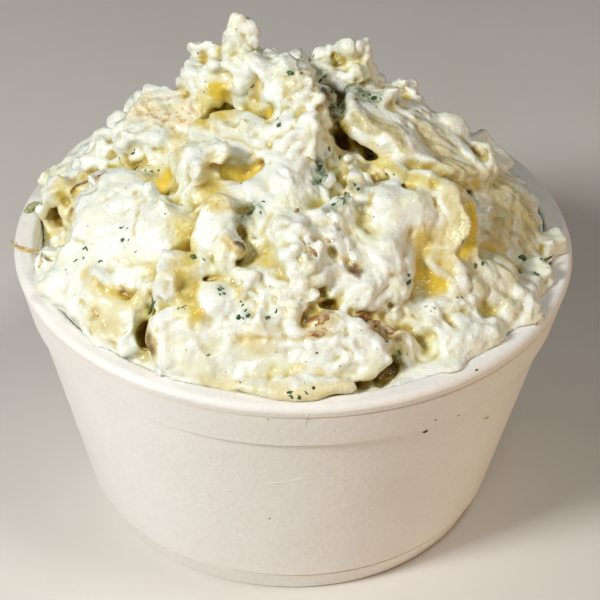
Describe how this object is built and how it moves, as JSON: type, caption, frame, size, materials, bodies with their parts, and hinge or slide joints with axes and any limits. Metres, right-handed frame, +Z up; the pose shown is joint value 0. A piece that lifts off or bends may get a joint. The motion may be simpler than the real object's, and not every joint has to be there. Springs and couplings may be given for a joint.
{
  "type": "potato salad in a foam cup",
  "caption": "Creamy potato salad heaped high above the rim of a round, tapered white foam cup, with lumpy dressing, potato slices and chopped herbs.",
  "frame": {"origin": "on the cup's axis, at the surface that the cup stands on", "axes": "+Z up; the heap's best side faces -Y, with the large potato slice towards +X"},
  "size_m": [0.117, 0.117, 0.1056],
  "materials": {
    "white_foam": "matt moulded foam with a fine bead grain",
    "dressed_potato": "moist, lumpy cream dressing over yellow potato"
  },
  "bodies": {
    "root": {"foam_cup": "white_foam", "potato_salad": "dressed_potato"}
  },
  "joints": []
}
